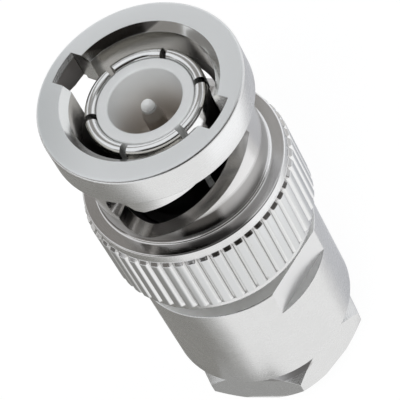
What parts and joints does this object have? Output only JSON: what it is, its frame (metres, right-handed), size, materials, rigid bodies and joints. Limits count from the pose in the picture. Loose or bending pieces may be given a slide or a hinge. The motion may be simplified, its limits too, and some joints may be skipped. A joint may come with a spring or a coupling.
{
  "type": "bnc plug with screwed cable clamp",
  "caption": "Straight bayonet coaxial plug for solder mounting on a cable: slotted contact, knurled coupling nut, round body with wrench flats and hexagonal clamp nut.",
  "frame": {"origin": "centre of the clamp nut's rear face, on the connector's axis", "axes": "+Z along the connector's axis towards the mating face; azimuth 0 is +X, counter-clockwise seen from the mating face"},
  "size_m": [0.0144, 0.0144, 0.0298],
  "materials": {
    "nickel_plate": "satin nickel plate on turned brass",
    "contact_plate": "bright plated contact surface",
    "spring_steel": "rolled stainless spring strip",
    "insulator": "white low-loss plastic, slightly translucent",
    "gasket_rubber": "soft moulded rubber"
  },
  "bodies": {
    "plug_body": {"body": "nickel_plate", "outer_contact": "contact_plate", "interface_gasket": "gasket_rubber", "front_insulator": "insulator", "rear_insulator": "insulator", "centre_pin": "contact_plate", "braid_ferrule": "nickel_plate", "cable_gasket": "gasket_rubber", "thrust_washer": "nickel_plate", "wave_spring_1": "spring_steel", "wave_spring_2": "spring_steel"},
    "spring_ring": {"retaining_ring": "spring_steel"},
    "nut": {"coupling_nut": "nickel_plate"},
    "slip_washer": {"clamp_washer": "nickel_plate"},
    "clamp": {"clamp_nut": "nickel_plate"}
  },
  "joints": [
    {"name": "coupling_slide", "type": "slide", "parent": "plug_body", "child": "spring_ring", "axis": [0, 0, 1], "range_m": [0, 0.0008], "stiffness_N_per_m": 6000, "springref_m": -0.0002, "deforming": ["wave_spring_1", "wave_spring_2"]},
    {"name": "coupling_turn", "type": "hinge", "parent": "spring_ring", "child": "nut", "pos_m": [0, 0, 0.0222], "axis": [0, 0, 1], "continuous": true},
    {"name": "clamp_travel", "type": "slide", "parent": "plug_body", "child": "slip_washer", "axis": [0, 0, -1], "range_m": [0, 0.00375]},
    {"name": "clamp_turn", "type": "hinge", "parent": "slip_washer", "child": "clamp", "pos_m": [0, 0, 0.0037], "axis": [0, 0, -1], "range_deg": [0, 1800]}
  ],
  "couplings": [
    {"joint": "clamp_turn", "follows": "clamp_travel", "rad_per_m": 8377}
  ]
}
